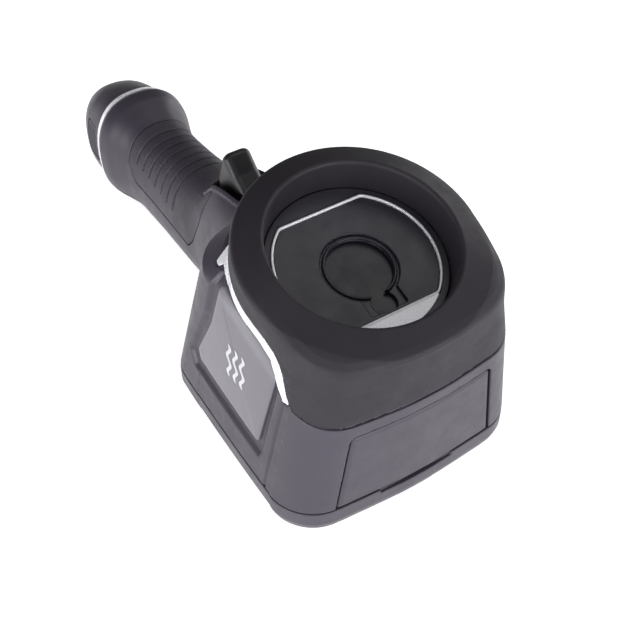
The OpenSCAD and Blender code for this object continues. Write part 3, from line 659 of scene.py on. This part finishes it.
def to_world(points, turn_only=False):
    """From the lens frame to the row frame."""
    x, y, z = points.T
    base = (0, 0) if turn_only else (LENS_Y, LENS_Z)
    return np.stack([x, base[0] + y * COS_T - z * SIN_T, base[1] + y * SIN_T + z * COS_T], 1)


def add_piece(name, mesh, material, body, nodes=()):
    """A piece of that mesh, riding on its body in place of the nodes."""
    mesh.materials.append(material)
    obj = bpy.data.objects.new(name, mesh)
    bpy.context.scene.collection.objects.link(obj)
    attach(obj, body)
    if nodes:
        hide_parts(*nodes)


def quad_mesh(name, verts, faces, normals):
    """A smooth-shaded mesh from arrays in millimetres."""
    mesh = bpy.data.meshes.new(name)
    n = faces.shape[1]
    mesh.vertices.add(len(verts))
    mesh.vertices.foreach_set("co", (verts * MM).astype(np.float32).ravel())
    mesh.loops.add(faces.size)
    mesh.loops.foreach_set("vertex_index", faces.astype(np.int32).ravel())
    mesh.polygons.add(len(faces))
    mesh.polygons.foreach_set("loop_start", np.arange(0, faces.size, n, dtype=np.int32))
    mesh.polygons.foreach_set("use_smooth", np.ones(len(faces), bool))
    mesh.update(calc_edges=True)
    mesh.validate()
    mesh.normals_split_custom_set_from_vertices(normals.astype(np.float32).tolist())
    return mesh


def moulded(name, f, low, high, h, material, body, nodes,
            even=True, lens=False, mirror=False):
    """A piece meshed from the distance f in a box, at grid step h, in either frame."""
    h = h
    verts, faces, normals = surface(f, low, high, h, even)
    if mirror:
        verts, normals, faces = verts * (-1, 1, 1), normals * (-1, 1, 1), faces[:, ::-1]
    if lens:
        verts, normals = to_world(verts), to_world(normals, True)
    add_piece(name, quad_mesh(name, verts, faces, normals), material, body, nodes)


# ---------- materials ----------


def colour(r, g, b):
    """Linear colour from screen values of 0 to 255."""
    return tuple((c / 12.92 if c <= 0.04045 else ((c + 0.055) / 1.055) ** 2.4)
                 for c in (r / 255, g / 255, b / 255)) + (1.0,)


def surface_material(name, base, rough, metal=0.0, grain=0.0, grain_scale=2500.0, mottle=0.06,
                     rough_var=0.08, coat=0.0, wear=0.0, specular=0.5, scratch=0.0):
    """A procedural finish: fine grain, uneven colour and gloss, worn edges and fine scratches."""
    m = bpy.data.materials.new(name)
    m.use_nodes = True
    t = m.node_tree
    n, link = t.nodes, t.links.new
    bsdf = n["Principled BSDF"]
    bsdf.inputs["Metallic"].default_value = metal
    bsdf.inputs["Specular IOR Level"].default_value = specular
    bsdf.inputs["Coat Weight"].default_value = coat
    bsdf.inputs["Coat Roughness"].default_value = 0.12
    coord = n.new("ShaderNodeTexCoord")

    def noise(scale, detail, roughness=0.55):
        node = n.new("ShaderNodeTexNoise")
        node.inputs["Scale"].default_value = scale
        node.inputs["Detail"].default_value = detail
        node.inputs["Roughness"].default_value = roughness
        link(coord.outputs["Object"], node.inputs["Vector"])
        return node.outputs["Fac"]

    def remap(value, low, high):
        node = n.new("ShaderNodeMapRange")
        node.inputs["From Min"].default_value = 0.3
        node.inputs["From Max"].default_value = 0.7
        node.inputs["To Min"].default_value = low
        node.inputs["To Max"].default_value = high
        link(value, node.inputs["Value"])
        return node.outputs["Result"]

    def mix(factor, a, b, kind="MIX"):
        node = n.new("ShaderNodeMix")
        node.data_type = "RGBA"
        node.blend_type = kind
        for socket, value in ((node.inputs[0], factor), (node.inputs[6], a), (node.inputs[7], b)):
            if isinstance(value, (tuple, float)):
                socket.default_value = value
            else:
                link(value, socket)
        return node.outputs[2]

    cloud = noise(38.0, 4.0)
    dark = tuple(c * (1 - mottle * 2) for c in base[:3]) + (1.0,)
    light = tuple(min(1.0, c * (1 + mottle * 2)) for c in base[:3]) + (1.0,)
    tint = mix(remap(cloud, 0.0, 1.0), dark, light)
    if wear:
        geometry = n.new("ShaderNodeNewGeometry")
        edge = n.new("ShaderNodeMapRange")
        edge.inputs["From Min"].default_value = 0.56
        edge.inputs["From Max"].default_value = 0.70
        edge.inputs["To Max"].default_value = wear
        link(geometry.outputs["Pointiness"], edge.inputs["Value"])
        worn = tuple(min(1.0, c * 1.8 + 0.03) for c in base[:3]) + (1.0,)
        tint = mix(edge.outputs["Result"], tint, worn)
    link(tint, bsdf.inputs["Base Color"])
    link(remap(noise(120.0, 5.0, 0.65), rough - rough_var, rough + rough_var),
         bsdf.inputs["Roughness"])
    height = None
    if grain:
        height = noise(grain_scale, 2.0)
    if scratch:
        mapping = n.new("ShaderNodeMapping")
        mapping.inputs["Scale"].default_value = (40.0, 900.0, 40.0)
        link(coord.outputs["Object"], mapping.inputs["Vector"])
        lines = n.new("ShaderNodeTexNoise")
        lines.inputs["Scale"].default_value = 6.0
        lines.inputs["Detail"].default_value = 3.0
        link(mapping.outputs["Vector"], lines.inputs["Vector"])
        height = lines.outputs["Fac"]
    if height is not None:
        bump = n.new("ShaderNodeBump")
        bump.inputs["Strength"].default_value = max(grain, scratch)
        bump.inputs["Distance"].default_value = 0.0001 if grain_scale > 1500 else 0.0003
        link(height, bump.inputs["Height"])
        link(bump.outputs["Normal"], bsdf.inputs["Normal"])
    return m


RUBBER = surface_material("soft_rubber", colour(38, 34, 41), 0.60, grain=0.35, grain_scale=3200,
                          wear=0.15, specular=0.32)
SHELL = surface_material("shell_plastic", colour(54, 49, 61), 0.45, grain=0.4, grain_scale=2400,
                         wear=0.2)
# A lighter copy of the shell plastic for the rear housing: painted light, the floor's bounce on its
# lower edges
SHELL_BACK_LIT = surface_material("back_plastic_lit", colour(62, 57, 68), 0.42, grain=0.4,
                              grain_scale=2400, wear=0.2)
GRIP_RUBBER = surface_material("grip_rubber", colour(52, 47, 58), 0.54, grain=1.0, grain_scale=1300,
                               mottle=0.14, wear=0.3)
PANEL_PAINT = surface_material("panel_paint", colour(92, 88, 99), 0.33, grain=0.12, coat=0.3,
                               mottle=0.03, rough_var=0.04, wear=0.2)
BRIGHT = surface_material("bright_trim", colour(238, 238, 243), 0.28, metal=0.25, mottle=0.01,
                          rough_var=0.05, scratch=0.12)
TRIGGER_PLASTIC = surface_material("trigger_plastic", colour(30, 27, 31), 0.40, grain=0.15, wear=0.3)
PLATE_PLASTIC = surface_material("plate_plastic", colour(40, 38, 48), 0.34, grain=0.2,
                                 mottle=0.04, wear=0.2)
COVER_PLASTIC = surface_material("cover_plastic", colour(34, 31, 39), 0.38, grain=0.2, mottle=0.05)
BEZEL_PLASTIC = surface_material("bezel_plastic", colour(52, 50, 58), 0.42, grain=0.3, wear=0.2)
STEEL = surface_material("steel", colour(178, 178, 182), 0.28, metal=1.0, scratch=0.3)
DARK_METAL = surface_material("dark_metal", colour(96, 97, 102), 0.42, metal=0.9, grain=0.2)
BRASS = surface_material("gold_contact", colour(198, 158, 78), 0.30, metal=1.0, scratch=0.2)
COIL = surface_material("coil_winding", colour(150, 96, 48), 0.40, metal=0.7, scratch=0.6)
BLACK_PLASTIC = surface_material("black_plastic", colour(26, 26, 28), 0.42, grain=0.25, wear=0.2)
KEY_RUBBER = surface_material("key_rubber", colour(52, 50, 55), 0.55, grain=0.3, wear=0.25)
GLASS_BLACK = surface_material("display_glass", colour(9, 10, 14), 0.07, mottle=0.1, rough_var=0.02,
                               coat=0.6, specular=0.6)
IR_GLASS = surface_material("germanium", colour(78, 66, 92), 0.12, metal=0.75, mottle=0.15,
                            rough_var=0.03)
EYE_GLASS = surface_material("lens_glass", colour(14, 13, 30), 0.05, mottle=0.2, rough_var=0.02,
                             coat=0.8)
BOARD = surface_material("circuit_board", colour(22, 66, 38), 0.45, grain=0.8, grain_scale=600,
                         mottle=0.2)
LCD = surface_material("lcd_back", colour(120, 130, 138), 0.35, metal=0.3, scratch=0.2)
CELL = surface_material("cell_wrap", colour(60, 96, 140), 0.38, grain=0.2, mottle=0.05)
SYMBOL = surface_material("symbol_silver", colour(205, 205, 210), 0.34, metal=0.5, mottle=0.02,
                          scratch=0.1)

SLOT_MATERIALS = {
    "shell": SHELL, "shell_back": SHELL_BACK_LIT, "bumper": RUBBER, "bezel": BEZEL_PLASTIC,
    "bright": BRIGHT, "plate": PLATE_PLASTIC, "cover": COVER_PLASTIC, "lever": KEY_RUBBER,
    "steel": STEEL, "ir_glass": IR_GLASS, "barrel": DARK_METAL, "detector": DARK_METAL, "chip": BOARD,
    "bracket": DARK_METAL, "coil": COIL, "flag": BLACK_PLASTIC, "lens_glass": EYE_GLASS,
    "module": BLACK_PLASTIC, "panel": PANEL_PAINT, "grip": GRIP_RUBBER, "trigger": TRIGGER_PLASTIC,
    "switch": BLACK_PLASTIC, "flap": SHELL, "contact": BRASS, "cell": CELL, "case": BLACK_PLASTIC,
    "screen_glass": GLASS_BLACK, "panel_lcd": LCD, "gasket": BLACK_PLASTIC, "key": KEY_RUBBER,
    "mat": BLACK_PLASTIC, "board": BOARD, "screw": DARK_METAL}

for row in frame["record"]["subparts"]:
    slots = frame["nodes"][row["node"]].data.materials
    if not len(slots):
        slots.append(None)
    for i in range(len(slots)):
        slots[i] = SLOT_MATERIALS[row["material_slot"]]

# ---------- camera, floor and lights ----------

scene = bpy.context.scene
VIEW_TURN, VIEW_DOWN = radians(33.34), radians(44.80)
view = Vector((sin(VIEW_TURN) * cos(VIEW_DOWN), cos(VIEW_TURN) * cos(VIEW_DOWN), -sin(VIEW_DOWN)))
camera = bpy.data.objects.new("camera", bpy.data.cameras.new("camera"))
camera.location = (-0.16267, -0.30338, 0.32646)
camera.rotation_euler = view.to_track_quat("-Z", "Y").to_euler()
camera.data.lens = 64.69
camera.data.sensor_width = 36
camera.data.clip_start = 0.005
scene.collection.objects.link(camera)
scene.camera = camera

floor_mesh = bpy.data.meshes.new("floor")
floor_mesh.from_pydata([(-3, -3, 0), (3, -3, 0), (3, 3, 0), (-3, 3, 0)], [], [(0, 1, 2, 3)])
floor = bpy.data.objects.new("floor", floor_mesh)
floor_paper = surface_material("floor_paper", (0.9, 0.9, 0.9, 1.0), 0.9, mottle=0.003,
                               rough_var=0.02)
paper = floor_paper.node_tree.nodes["Principled BSDF"]
paper.inputs["Emission Color"].default_value = (1, 1, 1, 1)
paper.inputs["Emission Strength"].default_value = 0.75
floor_mesh.materials.append(floor_paper)
scene.collection.objects.link(floor)


def soft_light(name, place, target, size, power):
    """A rectangular light of that width and height, turned to its target."""
    data = bpy.data.lights.new(name, "AREA")
    data.shape = "RECTANGLE"
    data.size, data.size_y = size
    data.energy = power
    obj = bpy.data.objects.new(name, data)
    obj.location = place
    obj.rotation_euler = (Vector(target) - Vector(place)).to_track_quat("-Z", "Y").to_euler()
    scene.collection.objects.link(obj)


AIM = (0, -0.03, 0.04)
soft_light("left_bank", (-0.95, -0.30, 0.20), AIM, (0.9, 0.35), 9.0)
soft_light("front_bank", (0.15, -1.0, 0.20), AIM, (1.1, 0.35), 8.0)
soft_light("right_bank", (0.95, 0.1, 0.30), AIM, (0.8, 0.4), 4.0)
soft_light("overhead", (-0.25, -0.35, 1.4), (-0.05, 0, 0), (0.6, 0.6), 1.5)
soft_light("lens_sheen", (0.48, 0.10, 1.1), AIM, (0.7, 0.7), 1.6)

world = bpy.data.worlds.new("studio")
world.use_nodes = True
world.node_tree.nodes["Background"].inputs["Color"].default_value = (1.0, 1.0, 1.0, 1.0)
world.node_tree.nodes["Background"].inputs["Strength"].default_value = 0.13
scene.world = world
scene.view_settings.view_transform = "Standard"

# ---------- moulded pieces ----------

moulded("front_housing_shell", front_housing, (-50, -122, 8.8), (50, 89, 92), 0.6, SHELL,
        "housing", ["front_housing"])
# The rear housing takes the lighter copy of the shell plastic, which is painted light
moulded("rear_housing_shell", rear_housing, (-50, -122, -1), (50, 89, 11), 0.6, SHELL_BACK_LIT,
        "housing", ["rear_housing"])
# A dark sheet behind the seam: painted shade in the gap between the housings
moulded("seam_shade_sheet", seam_shade_sheet, (-50, -122, 8), (50, 89, 12), 0.5, BLACK_PLASTIC,
        "housing", ())
moulded("front_bumper_skin", front_bumper, (-50, -130, 52), (50, -30, 101), 0.6, RUBBER,
        "housing", ["front_bumper"])
moulded("side_trim_strip_left", side_trim, (14, -125, 50), (46, -44, 88), 0.42, BRIGHT,
        "housing", ["side_trim_left"], even=False, mirror=True)
moulded("side_trim_strip_right", side_trim_right, (14, -125, 50), (46, -44, 88), 0.42, BRIGHT,
        "housing", ["side_trim_right"], even=False)
moulded("grip_inlay_skin", grip_inlay, (-24, -2, 22), (24, 71, 68), 0.42, GRIP_RUBBER,
        "housing", ["grip_inlay"])
moulded("trigger_skin", trigger, (-8, -33, 49), (8, 9, 76), 0.42, TRIGGER_PLASTIC,
        "trigger", ["trigger"])
moulded("end_cap_skin", end_cap, (-21, 88, -1), (21, 123, 52), 0.5, SHELL,
        "battery", ["battery_end_cap"])
moulded("battery_band", band, (-21, 85.5, -1), (21, 91.5, 52), 0.42, BRIGHT,
        "battery", ["battery_trim_ring"])
moulded("latch_left_skin", latch, (13.5, 92, 16), (21, 105, 36), 0.34, SHELL,
        "latch_left", ["latch_button_left"], even=False, mirror=True)
moulded("latch_right_skin", latch, (13.5, 92, 16), (21, 105, 36), 0.34, SHELL,
        "latch_right", ["latch_button_right"], even=False)
moulded("port_flap", usb_flap, (-35, -123, 8), (35, -112, 47), 0.45, SHELL,
        "usb_flap", ["usb_flap"])
moulded("lens_bezel_ring", lens_bezel, (-32, -32, -14), (32, 32, -11.5), 0.4, BEZEL_PLASTIC,
        "housing", ["lens_bezel"], lens=True)
moulded("lens_trim", trim_ring, (-30, -30, -14), (30, 25, -11), 0.32, BRIGHT,
        "housing", ["lens_trim_ring"], lens=True)
moulded("lens_plate_skin", lens_plate, (-29, -23, -15.5), (29, 24, -11.8), 0.4, PLATE_PLASTIC,
        "housing", ["lens_front_plate"], lens=True)
moulded("cover_blade_skin", cover_blade, (-14, -24, -17), (33, 20, -14.2), 0.4, COVER_PLASTIC,
        "lens_cover", ["lens_cover_blade"], even=False, lens=True)
moulded("cover_lever_skin", cover_lever, (17, 8, -22.2), (34, 42, -19.3), 0.34, KEY_RUBBER,
        "lens_cover", ["lens_cover_lever"], even=False, lens=True)

# ---------- side panels and their symbol ----------


def wall_x(y, z, depth):
    """Sideways place of the point that lies that deep under the side wall."""
    low, high = np.full(len(y), 30.0), np.full(len(y), 55.0)
    for _ in range(26):
        mid = (low + high) / 2
        out = wall_distance(mid, y, z) > -depth
        high = np.where(out, mid, high)
        low = np.where(out, low, mid)
    return (low + high) / 2


def smooth_outline(pts, r, per_corner=8):
    """Points round the polygon with its corners rounded to radius r."""
    core = shrink(list(pts), r)
    area = sum(a[0] * b[1] - b[0] * a[1] for a, b in zip(core, core[1:] + core[:1]))
    core = core if area > 0 else core[::-1]
    out = []
    for i, c in enumerate(core):
        a, b = core[i - 1], core[(i + 1) % len(core)]
        w0 = atan2(c[1] - a[1], c[0] - a[0]) - pi / 2
        w1 = atan2(b[1] - c[1], b[0] - c[0]) - pi / 2
        turn = (w1 - w0 + pi) % (2 * pi) - pi
        for k in range(per_corner + 1):
            w = w0 + turn * k / per_corner
            out.append((c[0] + r * cos(w), c[1] + r * sin(w)))
    dense = []
    for a, b in zip(out, out[1:] + out[:1]):
        n = max(1, int(hypot(b[0] - a[0], b[1] - a[1]) / 1.5))
        dense += [(a[0] + (b[0] - a[0]) * k / n, a[1] + (b[1] - a[1]) * k / n) for k in range(n)]
    return np.array(dense)


def side_plate(name, outline, face, back, bevel, material, sign, nodes):
    """A plate that follows the side wall: its outline in side view, its face and back depths."""
    mid = outline.mean(0)
    reach = np.abs(outline - mid).mean()
    levels = [(0.0, back), (0.0, face + bevel), (bevel * 0.3, face + bevel * 0.3), (bevel, face)]
    levels += [(reach * k, face) for k in np.linspace(0.08, 0.96, 14)]
    rings = []
    for inset, depth in levels:
        p = mid + (outline - mid) * max(0.02, 1 - inset / reach)
        rings.append(np.stack([sign * wall_x(p[:, 0], p[:, 1], depth), p[:, 0], p[:, 1]], 1))
    n = len(outline)
    i = np.arange(n)
    j = (i + 1) % n
    quads = [np.stack([a * n + i, a * n + j, (a + 1) * n + j, (a + 1) * n + i], 1)
             for a in range(len(rings) - 1)]
    verts = np.concatenate(rings)
    last = len(rings) - 1
    verts = np.concatenate([verts, rings[-1].mean(0)[None], rings[0].mean(0)[None]])
    cap, base = len(verts) - 2, len(verts) - 1
    tris = [(last * n + a, last * n + b, cap) for a, b in zip(i, j)]
    tris += [(b, a, base) for a, b in zip(i, j)]
    faces = [tuple(q) for q in np.concatenate(quads).tolist()] + [tuple(map(int, t)) for t in tris]
    if sign < 0:
        faces = [f[::-1] for f in faces]
    mesh = bpy.data.meshes.new(name)
    mesh.from_pydata((verts * MM).tolist(), [], faces)
    mesh.update()
    for p in mesh.polygons:
        p.use_smooth = True
    mesh.set_sharp_from_angle(angle=radians(38))
    add_piece(name, mesh, material, "housing", nodes)


WAVE_CENTRE = np.array([-70.5, 46.0])
WAVE_HALF, WAVE_GAP, WAVE_WIDTH = 7.0, 4.2, 1.7
STROKE_FOOT, STROKE_TOP = 0.62, 0.42


def heat_wave(index):
    """Outline of one wavy stroke of the symbol, in side view, with rounded ends."""
    along, across = np.array([0.10, 0.995]), np.array([0.995, -0.10])
    t = np.linspace(-1, 1, 33)
    sway = (index - 1) * WAVE_GAP + np.sin(t * 2 * pi)
    spine = WAVE_CENTRE + np.outer(t * WAVE_HALF, along) + np.outer(sway, across)
    width = WAVE_WIDTH / 2 * np.sqrt(np.clip(1.02 - np.abs(t) ** 8, 0.02, 1))[:, None]
    return np.concatenate([spine + width * across, (spine - width * across)[::-1]])


def stroke(name, outline, sign):
    """A thin raised stroke on the panel."""
    n = len(outline) // 2
    right, left = outline[:n], outline[n:][::-1]
    cols = []
    for pts, depth in ((right, STROKE_FOOT), (right, STROKE_TOP), (left, STROKE_TOP),
                       (left, STROKE_FOOT)):
        x = sign * wall_x(pts[:, 0], pts[:, 1], np.full(n, depth))
        cols.append(np.stack([x, pts[:, 0], pts[:, 1]], 1))
    verts = np.concatenate(cols)
    faces = [(a * n + k, (a + 1) % 4 * n + k, (a + 1) % 4 * n + k + 1, a * n + k + 1)
             for a in range(4) for k in range(n - 1)]
    faces += [(0, n, 2 * n, 3 * n)[::-1], (n - 1, 2 * n - 1, 3 * n - 1, 4 * n - 1)]
    if sign < 0:
        faces = [f[::-1] for f in faces]
    mesh = bpy.data.meshes.new(name)
    mesh.from_pydata((verts * MM).tolist(), [], faces)
    mesh.update()
    add_piece(name, mesh, SYMBOL, "housing")


PANEL_RING = smooth_outline(PANEL, 2.6)
for sign, side in ((-1, "left"), (1, "right")):
    side_plate("side_panel_" + side + "_skin", PANEL_RING, 0.55, 1.5, 0.4, PANEL_PAINT, sign,
               ["side_panel_" + side])
    for wave in range(3):
        stroke("heat_mark_%s_%d" % (side, wave), heat_wave(wave), sign)
